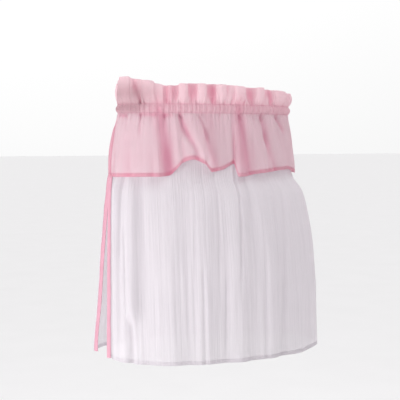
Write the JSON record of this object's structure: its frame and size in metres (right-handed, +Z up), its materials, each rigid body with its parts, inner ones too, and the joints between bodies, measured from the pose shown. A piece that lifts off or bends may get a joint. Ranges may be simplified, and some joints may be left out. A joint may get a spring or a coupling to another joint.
{
  "type": "mosquito net canopy",
  "caption": "Oval mosquito net canopy that hangs from a hoop: white gathered net with a pink frill, valance and a bound end opening.",
  "frame": {"origin": "centre of the rod pocket's hollow at the canopy's closed end", "axes": "+Z up, +X along the hoop's length towards the closed end, the opening is at the -X end, -Y is the front"},
  "size_m": [0.7338, 0.4835, 0.8711],
  "materials": {
    "pink_sheer": "sheer crisp voile, matt with a faint sheen",
    "pink_binding": "folded satin binding",
    "white_net": "fine soft netting, matt and see-through"
  },
  "bodies": {
    "root": {"heading_valance": "pink_sheer", "pocket_back": "pink_sheer", "net_wall": "white_net", "net_top": "white_net", "binding_front": "pink_binding", "binding_back": "pink_binding"}
  },
  "joints": []
}
